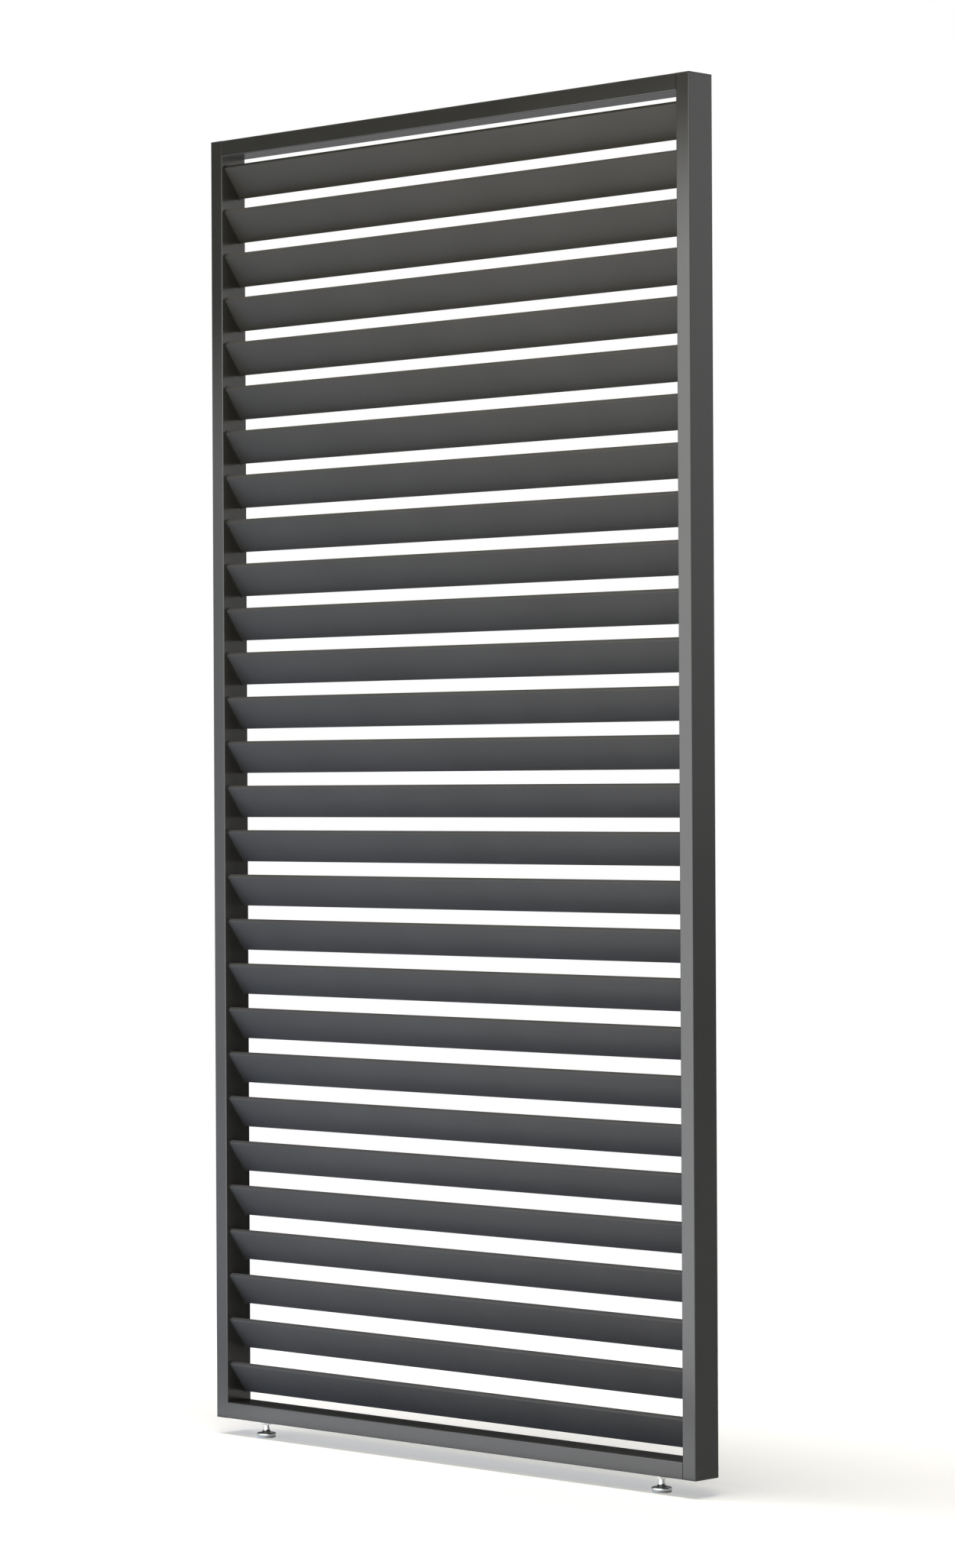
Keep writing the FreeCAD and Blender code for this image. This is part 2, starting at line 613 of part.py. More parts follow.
def make_foot_base(side, sign):
    """A trumpet on a disc, with a hexagon collar on top, bored below for the glide and above for the stud."""
    base = new_body(f"{side}_foot_base")
    pin_hole = "Dimensions.glide_pin_diameter / 2 + Dimensions.glide_pin_fit"
    pin_hole_top = "Dimensions.glide_pin_length + Dimensions.bore_end_gap"
    rim = "Dimensions.disc_diameter / 2"
    neck = "Derived.neck_diameter / 2"
    crown_foot = "Dimensions.disc_height - Dimensions.disc_crown"
    flare_top = "Dimensions.disc_height + Dimensions.flare_radius"
    neck_top = f"{flare_top} + Dimensions.neck_length"
    rim_top = (rim, f"{crown_foot} - Dimensions.disc_edge_radius")
    flare_foot = (f"{neck} + Dimensions.flare_radius", "Dimensions.disc_height")
    corners = [
        ("0", pin_hole_top),
        (pin_hole, pin_hole_top),
        (pin_hole, "0"),
        (f"{rim} - Dimensions.disc_chamfer", "0"),
        (rim, "Dimensions.disc_chamfer"),
        rim_top,
        (f"{rim} - Dimensions.disc_edge_radius", crown_foot),
        flare_foot,
        (neck, flare_top),
        (neck, neck_top),
        ("0", neck_top),
    ]
    arcs = {
        corners.index(rim_top): ("Dimensions.disc_edge_radius", True),
        corners.index(flare_foot): ("Dimensions.flare_radius", False),
    }
    revolve(base, corners, arcs)
    collar = new_sketch(base, "XY_Plane", z=neck_top)
    draw_hexagon(collar, "Dimensions.collar_across_flats")
    pad(base, collar, "Dimensions.collar_height")
    bore = new_sketch(base, "XY_Plane", z="Derived.base_height")
    draw_circle(bore, "Derived.spigot_bore")
    pocket(base, bore, "Dimensions.spigot_length + Dimensions.bore_end_gap")
    place(base, x=f"{sign} * Derived.foot_x", z="Dimensions.glide_height")


def make_foot_glide(side, sign):
    """A plastic pad under the foot, with a pin on which the foot turns."""
    glide = new_body(f"{side}_foot_glide")
    rim = "Derived.glide_diameter / 2"
    pin = "Dimensions.glide_pin_diameter / 2"
    pin_top = "Dimensions.glide_height + Dimensions.glide_pin_length"
    corners = [
        ("0", "0"),
        (f"{rim} - Dimensions.glide_chamfer", "0"),
        (rim, "Dimensions.glide_chamfer"),
        (rim, "Dimensions.glide_height"),
        (pin, "Dimensions.glide_height"),
        (pin, pin_top),
        ("0", pin_top),
    ]
    revolve(glide, corners, {})
    place(glide, x=f"{sign} * Derived.foot_x")


def check_document():
    """Stops if an object failed, if a cut removed nothing, or if a sub-part has no sound shape."""
    for item in doc.Objects:
        if {"Invalid", "Error"} & set(item.State):
            raise RuntimeError(f"{item.Name} failed: {item.State}")
        if item.TypeId == "PartDesign::Pocket" and item.Shape.Volume >= item.BaseFeature.Shape.Volume:
            raise RuntimeError(f"{item.Name} removes nothing")
    for part in sub_parts:
        if part.Shape.isNull() or not part.Shape.isValid():
            raise RuntimeError(f"{part.Label} has no sound shape")


def write_parts():
    os.makedirs("parts", exist_ok=True)
    for part in sub_parts:
        part.Shape.exportStep(f"parts/{part.Label}.step")
        print(part.Label, len(part.Shape.Solids), "solid(s),", round(part.Shape.Volume), "mm3")


for end in ENDS:
    make_rail(end)
for side, sign in SIDES:
    make_stile(side, sign)
    make_slat_sleeves(side, sign)
    for end in ENDS:
        make_end_cap(side, sign, end)
        make_rail_plug(side, sign, end)
make_slats()
make_corner_screws()
for side, sign in SIDES:
    make_foot_insert(side, sign)
    make_foot_stud(side, sign)
    make_foot_base(side, sign)
    make_foot_glide(side, sign)

doc.recompute()
check_document()
write_parts()
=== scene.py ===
# %% [markdown]
# # A louvred privacy screen
#
# Two stiles and two rails of rectangular aluminium tube hold 28 fixed slats, and two screw feet
# stand under the bottom rail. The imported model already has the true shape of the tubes, the slats
# and the fittings inside them, so those pieces stay and get finishes. This lesson models again the
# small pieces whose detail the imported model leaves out, then lights the screen as for a catalogue.

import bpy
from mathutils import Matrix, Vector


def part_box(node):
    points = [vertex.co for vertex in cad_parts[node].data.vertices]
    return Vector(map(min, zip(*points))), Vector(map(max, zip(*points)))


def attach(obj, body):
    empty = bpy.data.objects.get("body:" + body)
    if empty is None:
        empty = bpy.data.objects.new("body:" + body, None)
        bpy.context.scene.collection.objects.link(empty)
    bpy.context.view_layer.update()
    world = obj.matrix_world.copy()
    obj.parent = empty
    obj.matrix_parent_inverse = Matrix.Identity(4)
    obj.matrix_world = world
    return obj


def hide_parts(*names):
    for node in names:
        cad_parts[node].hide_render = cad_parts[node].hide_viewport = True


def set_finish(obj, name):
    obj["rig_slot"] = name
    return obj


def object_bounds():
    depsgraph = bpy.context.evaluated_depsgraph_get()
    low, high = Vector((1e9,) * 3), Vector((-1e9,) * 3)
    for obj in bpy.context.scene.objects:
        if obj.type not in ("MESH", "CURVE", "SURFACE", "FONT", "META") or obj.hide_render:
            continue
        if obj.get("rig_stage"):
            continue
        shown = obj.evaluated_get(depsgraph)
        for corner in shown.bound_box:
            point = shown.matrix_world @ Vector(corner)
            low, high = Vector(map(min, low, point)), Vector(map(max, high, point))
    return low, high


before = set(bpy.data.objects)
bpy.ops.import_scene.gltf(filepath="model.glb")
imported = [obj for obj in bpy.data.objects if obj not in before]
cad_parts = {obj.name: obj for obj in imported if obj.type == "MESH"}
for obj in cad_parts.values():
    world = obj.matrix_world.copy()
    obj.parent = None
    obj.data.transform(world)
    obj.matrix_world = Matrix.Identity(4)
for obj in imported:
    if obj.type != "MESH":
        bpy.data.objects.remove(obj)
cad_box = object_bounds()
print("nodes:", len(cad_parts), "box:", [tuple(corner) for corner in cad_box])

# %% [markdown]
# ## Tools for modelling by hand
#
# Each new piece starts as a primitive and is shaped in edit mode, as it would be with the mouse.
# Without a mouse, the faces and edges to work on are picked by their place or by the way they
# face. A small function does the picking, so that each step below reads as one pick and one tool.

# %% Picking, and starting a piece
import math

import bmesh
import bpy
from mathutils import Matrix, Vector

MM = 0.001
NEAR = 0.02 * MM


def pick(kind, wanted):
    """Selects, in edit mode, only the edges or faces for which wanted is true."""
    bpy.ops.mesh.select_mode(type=kind)
    bpy.ops.mesh.select_all(action="DESELECT")
    mesh = bmesh.from_edit_mesh(bpy.context.edit_object.data)
    for item in mesh.edges if kind == "EDGE" else mesh.faces:
        item.select_set(wanted(item))
    bmesh.update_edit_mesh(bpy.context.edit_object.data)


def faces_at(height, up):
    """A test for faces that lie at a height and face up (1) or down (-1)."""
    return lambda face: (
        abs(face.calc_center_median().z - height) < NEAR and face.normal.z * up > 0.99
    )


def edges_at(height, radius):
    """A test for the edges of a round rim: a height, and a distance from the upright axis."""
    return lambda edge: all(
        abs(vert.co.z - height) < NEAR and abs(vert.co.xy.length - radius) < 2 * NEAR
        for vert in edge.verts
    )


def begin(name, add, **sizes):
    """Adds a primitive with nothing else selected, and opens its mesh with its points picked."""
    bpy.ops.object.select_all(action="DESELECT")
    add(**sizes)
    piece = bpy.context.active_object
    piece.name = piece.data.name = name
    bpy.ops.object.transform_apply(location=True, rotation=True, scale=True)
    bpy.ops.object.mode_set(mode="EDIT")
    bpy.ops.mesh.select_mode(type="VERT")
    return piece


def extrude(distance):
    """Pulls the picked faces up, or down where the distance is negative."""
    bpy.ops.mesh.extrude_region_move(TRANSFORM_OT_translate={"value": (0, 0, distance)})


def soften(piece, angle=40):
    """Closes the mesh: smooth over its roundings, and true to the flats beside them."""
    bpy.ops.object.mode_set(mode="OBJECT")
    bpy.ops.object.shade_smooth_by_angle(angle=math.radians(angle))
    flats = piece.modifiers.new("flats", "WEIGHTED_NORMAL")
    flats.keep_sharp = True
    bpy.ops.object.modifier_apply(modifier=flats.name)
    print(piece.name, "faces:", len(piece.data.polygons))


print("places count as the same within", NEAR / MM, "mm")

# %% [markdown]
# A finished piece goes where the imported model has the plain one. What repeats is modelled once at
# the origin, and each copy gets a mesh of its own that is moved into place, so that every object
# stays at the origin, unturned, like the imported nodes.

# %% Putting a copy in the place of a node
def stand_in(model, node, move, body):
    """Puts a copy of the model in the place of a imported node, riding on that node's body."""
    piece = model.copy()
    piece.data = model.data.copy()
    piece.name = piece.data.name = f"{node}_shape"
    piece.data.transform(move)
    bpy.context.collection.objects.link(piece)
    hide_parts(node)
    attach(piece, body)
    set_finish(piece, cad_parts[node].material_slots[0].material.name)
    return piece


new_pieces = []
print("packed nodes that a piece can stand in for:", len(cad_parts))

# %% [markdown]
# ## End caps
#
# A moulded plate closes each end of each stile, and two lugs hold it along the tube's walls. A
# cube could do for the plate, but a moulding has no sharp edges, and the light catches them along
# the very top of the screen. So the cube gets the tube's rounded corners, a soft outer rim, and
# lugs that are cut into its inner face and pulled up.

# %% The plate of a cap
TUBE_FACE = 25 * MM
TUBE_DEPTH = 50 * MM
TUBE_EDGE = 1.5 * MM
CAP_PLATE = 2.5 * MM
CAP_SOFT_RIM = 0.6 * MM

cap = begin(
    "cap",
    bpy.ops.mesh.primitive_cube_add,
    size=1,
    scale=(TUBE_FACE, TUBE_DEPTH, CAP_PLATE),
    location=(0, 0, CAP_PLATE / 2),
)
pick("EDGE", lambda edge: abs(edge.verts[0].co.z - edge.verts[1].co.z) > NEAR)
bpy.ops.mesh.bevel(offset=TUBE_EDGE, segments=6)
pick("EDGE", lambda edge: all(vert.co.z < NEAR for vert in edge.verts))
bpy.ops.mesh.bevel(offset=CAP_SOFT_RIM, segments=4)
print("cap plate, faces:", len(bmesh.from_edit_mesh(cap.data).faces))

# %% [markdown]
# On the real cap the lugs are moulded with the plate, and clear the tube's wall by a little. Six
# cuts across the plate outline them on its inner face. The two faces inside the outlines are pulled
# up, and their ends get a lead-in, so that lugs and plate stay one closed mesh.

# %% The lugs of a cap
LUG_WIDTH = 20.6 * MM
LUG_THICKNESS = 2 * MM
LUG_LENGTH = 12 * MM
LUG_LEAD_IN = 0.5 * MM
LUG_SETBACK = 2.2 * MM
LUG_OUTER = TUBE_DEPTH / 2 - LUG_SETBACK
LUG_INNER = LUG_OUTER - LUG_THICKNESS

for axis, offsets in (
    ((1, 0, 0), (-LUG_WIDTH / 2, LUG_WIDTH / 2)),
    ((0, 1, 0), (-LUG_OUTER, -LUG_INNER, LUG_INNER, LUG_OUTER)),
):
    for offset in offsets:
        bpy.ops.mesh.select_all(action="SELECT")
        bpy.ops.mesh.bisect(plane_co=Vector(axis) * offset, plane_no=axis)


def lug_face(face):
    """True for a face inside a lug's outline, on the plate's inner side."""
    middle = face.calc_center_median()
    return (
        faces_at(CAP_PLATE, up=1)(face)
        and abs(middle.x) < LUG_WIDTH / 2
        and LUG_INNER < abs(middle.y) < LUG_OUTER
    )


pick("FACE", lug_face)
extrude(LUG_LENGTH)
pick("EDGE", lambda edge: all(vert.co.z > CAP_PLATE + LUG_LENGTH - NEAR for vert in edge.verts))
bpy.ops.mesh.bevel(offset=LUG_LEAD_IN, segments=2)
soften(cap)

# %% [markdown]
# One mould makes all four caps. Each copy is moved to the end of its stile, and those at the top go
# in turned over.

# %% Four caps
TURNED_OVER = Matrix.Rotation(math.pi, 4, "X")

for side in ("left", "right"):
    for end in ("bottom", "top"):
        node = f"{side}_{end}_cap"
        low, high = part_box(node)
        middle = (low + high) / 2
        if end == "bottom":
            move = Matrix.Translation((middle.x, middle.y, low.z))
        else:
            move = Matrix.Translation((middle.x, middle.y, high.z)) @ TURNED_OVER
        new_pieces.append(stand_in(cap, node, move, "frame"))
bpy.data.objects.remove(cap)
print("caps:", [piece.name for piece in new_pieces])

# %% [markdown]
# ## Glides
#
# A moulded pad under each foot keeps the metal off the floor, with a pin that the foot turns on.
# A spun outline would also give it, but a cylinder with its rims bevelled and the pin pulled out
# of its top takes fewer steps, and gives the same round piece. The foot turns on it, so a hair of
# room is left between the two.

# %% A glide
ROUND = 96
SLIDING_GAP = 0.05 * MM
GLIDE_RADIUS = 14.5 * MM
GLIDE_HEIGHT = 3 * MM - SLIDING_GAP
GLIDE_SOFT_RIM = 0.6 * MM
PIN_RADIUS = 4 * MM
PIN_LENGTH = 4 * MM + SLIDING_GAP
PIN_LEAD_IN = 0.5 * MM

glide = begin(
    "glide",
    bpy.ops.mesh.primitive_cylinder_add,
    vertices=ROUND,
    radius=GLIDE_RADIUS,
    depth=GLIDE_HEIGHT,
    location=(0, 0, GLIDE_HEIGHT / 2),
)
pick("EDGE", edges_at(0, GLIDE_RADIUS))
bpy.ops.mesh.bevel(offset=GLIDE_SOFT_RIM, segments=4)
pick("FACE", faces_at(GLIDE_HEIGHT, up=1))
bpy.ops.mesh.inset(thickness=GLIDE_RADIUS - PIN_RADIUS)
extrude(PIN_LENGTH)
pick("EDGE", lambda edge: all(vert.co.z > GLIDE_HEIGHT + PIN_LENGTH - NEAR for vert in edge.verts))
bpy.ops.mesh.bevel(offset=PIN_LEAD_IN, segments=2)
soften(glide)

# %% [markdown]
# ## Foot bases
#
# Each foot is turned from steel and chromed: a disc, a hollow curve up to a slim neck like a
# trumpet's, and a hexagon for a spanner. The turned part grows out of one cylinder: the top is
# inset, pulled up into the neck and tapered, and a bevel in the inner corner makes the curve.

# %% The turned part of a foot
DISC_RADIUS = 15 * MM
DISC_HEIGHT = 4.6 * MM
DISC_CROWN = 0.9 * MM
DISC_EDGE = 1.5 * MM
DISC_CHAMFER = 0.4 * MM
NECK_RADIUS = 5.3 * MM
NECK_TOP_RADIUS = 4.2 * MM
NECK_TOP = 15.8 * MM
FLARE = 5.2 * MM
PIN_HOLE_RADIUS = 4.1 * MM
PIN_HOLE_DEPTH = 4.3 * MM

foot = begin(
    "foot",
    bpy.ops.mesh.primitive_cylinder_add,
    vertices=ROUND,
    radius=DISC_RADIUS,
    depth=DISC_HEIGHT,
    location=(0, 0, DISC_HEIGHT / 2),
)
pick("FACE", faces_at(DISC_HEIGHT, up=1))
bpy.ops.mesh.inset(thickness=DISC_RADIUS - NECK_RADIUS - FLARE)
bpy.ops.mesh.inset(thickness=FLARE)
extrude(NECK_TOP - DISC_HEIGHT)
taper = NECK_TOP_RADIUS / NECK_RADIUS
bpy.ops.transform.resize(value=(taper, taper, 1), center_override=(0, 0, NECK_TOP))
pick("EDGE", edges_at(DISC_HEIGHT, DISC_RADIUS))
bpy.ops.transform.translate(value=(0, 0, -DISC_CROWN))
bpy.ops.mesh.bevel(offset=DISC_EDGE, segments=6)
pick("EDGE", edges_at(DISC_HEIGHT, NECK_RADIUS))
bpy.ops.mesh.bevel(offset=FLARE - NEAR, segments=14)
pick("EDGE", edges_at(0, DISC_RADIUS))
bpy.ops.mesh.bevel(offset=DISC_CHAMFER, segments=2)
pick("FACE", faces_at(0, up=-1))
bpy.ops.mesh.inset(thickness=DISC_RADIUS - DISC_CHAMFER - PIN_HOLE_RADIUS)
extrude(PIN_HOLE_DEPTH)
bpy.ops.object.mode_set(mode="OBJECT")
print("turned part, top at", round(max(vert.co.z for vert in foot.data.vertices) / MM, 2), "mm")

# %% [markdown]
# The hexagon is milled from round bar whose rims were chamfered first, which leaves the curved
# corners that every nut has. The same two steps give it here: a six-sided prism keeps only what
# lies inside a round bar with tapered ends.

# %% The hexagon of a foot
COLLAR_ACROSS_FLATS = 13 * MM
COLLAR_HEIGHT = 4 * MM - SLIDING_GAP
COLLAR_CORNER_RADIUS = COLLAR_ACROSS_FLATS / math.sqrt(3)
COLLAR_BAR_SPARE = 0.05 * MM
COLLAR_BAR_RADIUS = COLLAR_CORNER_RADIUS + COLLAR_BAR_SPARE
COLLAR_FACE_RADIUS = 6.2 * MM
COLLAR_SLOPE = math.radians(30)
COLLAR_TAPER = math.tan(COLLAR_SLOPE) * (COLLAR_BAR_RADIUS - COLLAR_FACE_RADIUS)
COLLAR_TURN = math.radians(30)
SLIVER = NEAR / 5


def combine(piece, tool, operation):
    """Applies a boolean with another mesh, removes that mesh, and merges the slivers it leaves."""
    bpy.ops.object.select_all(action="DESELECT")
    bpy.context.view_layer.objects.active = piece
    piece.select_set(True)
    joined = piece.modifiers.new("joined", "BOOLEAN")
    joined.object, joined.operation, joined.solver = tool, operation, "EXACT"
    bpy.ops.object.modifier_apply(modifier=joined.name)
    bpy.data.objects.remove(tool)
    bpy.ops.object.mode_set(mode="EDIT")
    bpy.ops.mesh.select_all(action="SELECT")
    bpy.ops.mesh.dissolve_degenerate(threshold=SLIVER)
    bpy.ops.object.mode_set(mode="OBJECT")


bar = begin(
    "bar",
    bpy.ops.mesh.primitive_cylinder_add,
    vertices=ROUND,
    radius=COLLAR_BAR_RADIUS,
    depth=COLLAR_HEIGHT - 2 * COLLAR_TAPER,
    location=(0, 0, NECK_TOP + COLLAR_HEIGHT / 2),
)
shrink = COLLAR_FACE_RADIUS / COLLAR_BAR_RADIUS
for end, up in ((NECK_TOP + COLLAR_HEIGHT - COLLAR_TAPER, 1), (NECK_TOP + COLLAR_TAPER, -1)):
    pick("FACE", faces_at(end, up))
    extrude(up * COLLAR_TAPER)
    bpy.ops.transform.resize(value=(shrink, shrink, 1), center_override=(0, 0, end))
bpy.ops.object.mode_set(mode="OBJECT")

collar = begin(
    "collar",
    bpy.ops.mesh.primitive_cylinder_add,
    vertices=6,
    radius=COLLAR_CORNER_RADIUS,
    depth=COLLAR_HEIGHT,
    location=(0, 0, NECK_TOP + COLLAR_HEIGHT / 2),
    rotation=(0, 0, COLLAR_TURN),
)
bpy.ops.object.mode_set(mode="OBJECT")
combine(collar, bar, "INTERSECT")
combine(foot, collar, "UNION")
print("foot with its hexagon, faces:", len(foot.data.polygons))

# %% [markdown]
# The stud's plain end is pressed into a bore from above, drilled a little deeper than the stud
# goes. A cylinder taken away from the foot leaves the same hole as the drill.

# %% The bore for the stud
BORE_RADIUS = 3.08 * MM
BORE_DEPTH = 10.3 * MM
BASE_HEIGHT = NECK_TOP + COLLAR_HEIGHT

bore = begin(
    "bore",
    bpy.ops.mesh.primitive_cylinder_add,
    vertices=ROUND,
    radius=BORE_RADIUS,
    depth=2 * BORE_DEPTH,
    location=(0, 0, BASE_HEIGHT),
)
bpy.ops.object.mode_set(mode="OBJECT")
combine(foot, bore, "DIFFERENCE")
soften(foot, angle=25)

# %% [markdown]
# ## Studs
#
# The stud that a foot turns on shows between the hexagon and the rail, and its thread with it. A
# smooth rod would read as a pin, so the thread is a real one. It begins as one pitch of its
# outline, drawn point by point. The outline starts a little off a whole pitch, so that no corner of
# the thread lies where the rod is cut later.

# %% The outline of one pitch
STUD_RADIUS = 4 * MM
PITCH = 1.25 * MM
THREAD_DEPTH = 0.6134 * PITCH  # the depth of every metric thread, as a part of its pitch
CREST = PITCH / 8
ROOT = PITCH / 4
FLANK = (PITCH - CREST - ROOT) / 2
THREAD_START = -2.04 * PITCH

stud = begin("stud", bpy.ops.mesh.primitive_plane_add, size=PITCH)
bpy.ops.mesh.merge(type="CENTER")
bpy.ops.transform.translate(value=(STUD_RADIUS - THREAD_DEPTH, 0, THREAD_START))
for step in ((0, 0, ROOT), (THREAD_DEPTH, 0, FLANK), (0, 0, CREST), (-THREAD_DEPTH, 0, FLANK)):
    bpy.ops.mesh.extrude_region_move(TRANSFORM_OT_translate={"value": step})
bpy.ops.object.mode_set(mode="OBJECT")
print("outline points:", len(stud.data.vertices))

# %% [markdown]
# Real threads are rolled into a plain rod. Here a Screw modifier winds the outline round the axis
# instead, which gives the same helix. Each turn is merged with the next, the spare turns are cut
# off square, and the cuts are closed. The cuts lie a little beyond the stud's ends, because a
# boolean is least sure where two faces share a plane.

# %% Winding the thread and cutting its ends
SPIGOT_LENGTH = 10 * MM
THREAD_LENGTH = 23 * MM
STUD_LENGTH = SPIGOT_LENGTH + THREAD_LENGTH
SPARE_TURNS = 4
SPARE_LENGTH = PITCH / 4
TURN_STEPS = 36
CUT_NEAR = NEAR / 100

winding = stud.modifiers.new("winding", "SCREW")
winding.screw_offset = PITCH
winding.iterations = math.ceil(STUD_LENGTH / PITCH) + SPARE_TURNS
winding.steps = winding.render_steps = TURN_STEPS
bpy.ops.object.modifier_apply(modifier=winding.name)

bpy.ops.object.mode_set(mode="EDIT")
bpy.ops.mesh.select_all(action="SELECT")
bpy.ops.mesh.remove_doubles(threshold=NEAR)
for height, keep_above in ((-SPARE_LENGTH, True), (STUD_LENGTH + SPARE_LENGTH, False)):
    bpy.ops.mesh.select_all(action="SELECT")
    bpy.ops.mesh.bisect(
        plane_co=(0, 0, height),
        plane_no=(0, 0, 1),
        use_fill=True,
        clear_inner=keep_above,
        clear_outer=not keep_above,
        threshold=CUT_NEAR,
    )
bpy.ops.mesh.select_all(action="SELECT")
bpy.ops.mesh.normals_make_consistent(inside=False)
bpy.ops.object.mode_set(mode="OBJECT")
print("threaded rod, faces:", len(stud.data.polygons))

# %% [markdown]
# The lower end is pressed into the foot, so it is turned down past the root of the thread, and the
# tip is chamfered to find its insert. A lathe takes both off the threaded rod, and here the rod
# keeps only what lies inside a stepped bar of those sizes.

# %% Turning both ends of the stud
SPIGOT_RADIUS = 3 * MM
STUD_CHAMFER = 1 * MM
STEPPED_RADIUS = STUD_RADIUS + NEAR

stepped_bar = begin(
    "stepped_bar",
    bpy.ops.mesh.primitive_cylinder_add,
    vertices=ROUND,
    radius=STEPPED_RADIUS,
    depth=THREAD_LENGTH,
    location=(0, 0, SPIGOT_LENGTH + THREAD_LENGTH / 2),
)
pick("FACE", faces_at(SPIGOT_LENGTH, up=-1))
bpy.ops.mesh.inset(thickness=STEPPED_RADIUS - SPIGOT_RADIUS)
extrude(-SPIGOT_LENGTH)
pick("EDGE", edges_at(STUD_LENGTH, STEPPED_RADIUS))
bpy.ops.mesh.bevel(offset=STUD_CHAMFER, segments=1)
bpy.ops.object.mode_set(mode="OBJECT")
combine(stud, stepped_bar, "INTERSECT")
soften(stud, angle=30)

# %% [markdown]
# Each foot is a glide, a base and a stud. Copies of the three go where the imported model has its
# plain ones. The stud turns with the base, and the glide only rises and sinks with it.

# %% Both feet go into place
for side in ("left", "right"):
    for model, node, body in (
        (glide, f"{side}_foot_glide", f"{side}_glide"),
        (foot, f"{side}_foot_base", f"{side}_foot"),
        (stud, f"{side}_foot_stud", f"{side}_foot"),
    ):
        low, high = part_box(node)
        move = Matrix.Translation(((low.x + high.x) / 2, (low.y + high.y) / 2, low.z))
        new_pieces.append(stand_in(model, node, move, body))
for model in (glide, foot, stud):
    bpy.data.objects.remove(model)
print("pieces modelled here:", len(new_pieces))

# %% [markdown]
# ## Finishes
#
# Every finish is a small tree of nodes on Object coordinates, so a pattern keeps its real size in
# millimetres on every piece. One function adds a node with its settings and links. Colours are
# written as they would be picked on a screen, and turned to the linear values that light needs.

# %% Colours, pattern sizes and nodes
def colour(code):
    """The linear colour of an sRGB hex code."""
    parts = [int(code[place : place + 2], 16) / 255 for place in (1, 3, 5)]
    linear = [
        part / 12.92 if part <= 0.04045 else ((part + 0.055) / 1.055) ** 2.4 for part in parts
    ]
    return (*linear, 1)


def every(size):
    """The scale of a pattern that repeats about every so many millimetres."""
    return 1 / (size * MM)


def add_node(tree, kind, inputs, **settings):
    """Adds a node, makes its settings, and gives each input a value or a link."""
    node = tree.nodes.new(kind)
    for name, value in settings.items():
        setattr(node, name, value)
    for name, value in inputs.items():
        if isinstance(value, bpy.types.NodeSocket):
            tree.links.new(value, node.inputs[name])
        else:
            node.inputs[name].default_value = value
    return node


def new_finish(name):
    """A material with only its output, and the Object coordinates that its patterns use."""
    finish = bpy.data.materials.new(name)
    finish.use_nodes = True
    finish.node_tree.nodes.remove(finish.node_tree.nodes["Principled BSDF"])
    place = add_node(finish.node_tree, "ShaderNodeTexCoord", {}).outputs["Object"]
    return finish, finish.node_tree, place


def lay_on(tree, shader):
    """Links a shader to the material's output."""
    tree.links.new(shader.outputs[0], tree.nodes["Material Output"].inputs["Surface"])


print("mid grey in linear light:", [round(part, 3) for part in colour("#808080")])

# %% [markdown]
# ### Powder-coated aluminium
#
# The tubes and slats are extruded aluminium, sprayed with anthracite powder and baked. The powder
# melts to a skin that is satin, not mirror-smooth: faint waves like orange peel break up a
# reflection, and the colour drifts a little where the skin is thicker. The waves are about a
# millimetre and a half apart on a real coat; here they are drawn at 5 mm, because at a true size
# they would be lost between the pixels of a picture of the whole screen.

# %% The coat
COAT_WAVES = 5
COAT_WAVE_RANGE = (0.3, 0.7)
COAT_WAVE_STRENGTH = 0.1
COAT_WAVE_DEPTH = 0.05 * MM
COAT_DRIFT = 140
COAT_DRIFT_RANGE = (0.35, 0.65)


def powder_coat(name, dark, light, roughness, shine):
    """A satin coat between two near colours, with a range of roughness and a specular level."""
    finish, tree, place = new_finish(name)
    waves = add_node(
        tree,
        "ShaderNodeTexNoise",
        {"Vector": place, "Scale": every(COAT_WAVES), "Detail": 2},
    )
    drift = add_node(
        tree,
        "ShaderNodeTexNoise",
        {"Vector": place, "Scale": every(COAT_DRIFT), "Detail": 4},
    )
    tone = add_node(tree, "ShaderNodeValToRGB", {"Fac": drift.outputs["Fac"]})
    for stop, where, shade in zip(tone.color_ramp.elements, COAT_DRIFT_RANGE, (dark, light)):
        stop.position, stop.color = where, colour(shade)
    dulling = add_node(
        tree,
        "ShaderNodeMapRange",
        {
            "Value": waves.outputs["Fac"],
            "From Min": COAT_WAVE_RANGE[0],
            "From Max": COAT_WAVE_RANGE[1],
            "To Min": roughness[0],
            "To Max": roughness[1],
        },
    )
    skin = add_node(
        tree,
        "ShaderNodeBump",
        {
            "Height": waves.outputs["Fac"],
            "Strength": COAT_WAVE_STRENGTH,
            "Distance": COAT_WAVE_DEPTH,
        },
    )
    coat = add_node(
        tree,
        "ShaderNodeBsdfPrincipled",
        {
            "Base Color": tone.outputs["Color"],
            "Roughness": dulling.outputs["Result"],
            "Specular IOR Level": shine,
            "Normal": skin.outputs["Normal"],
        },
    )
    lay_on(tree, coat)
    return finish


# Tubes and slats wear one anthracite powder. The two base colours below are set apart as painted
# light and shade: the tubes' darker one and the slats' lighter one are chosen so each matches its
# tone under these lamps.
frame_coat = powder_coat(
    "powder_coated_aluminium_tube", "#343434", "#383838", roughness=(0.16, 0.22), shine=0.5
)
slat_coat = powder_coat(
    "powder_coated_aluminium_slat", "#41403F", "#454443", roughness=(0.42, 0.5), shine=0.15
)
print("coats:", frame_coat.name, slat_coat.name)

# %% [markdown]
# ### Moulded plastics
#
# Caps and sleeves are dark plastic from spark-eroded moulds, which print a fine grain that kills
# the shine. The glides are pale polyethylene, waxy and a little cloudy. One tree serves them all:
# a grain for the bump, and a slow cloud that moves the colour between two shades.

# %% The plastics
PLASTIC_CLOUD = 6
GRAIN_STRENGTH = 0.4
GRAIN_DEPTH = 0.03 * MM
GRAIN_DULLING = 0.08
SHADE_RANGE = (0.3, 0.7)


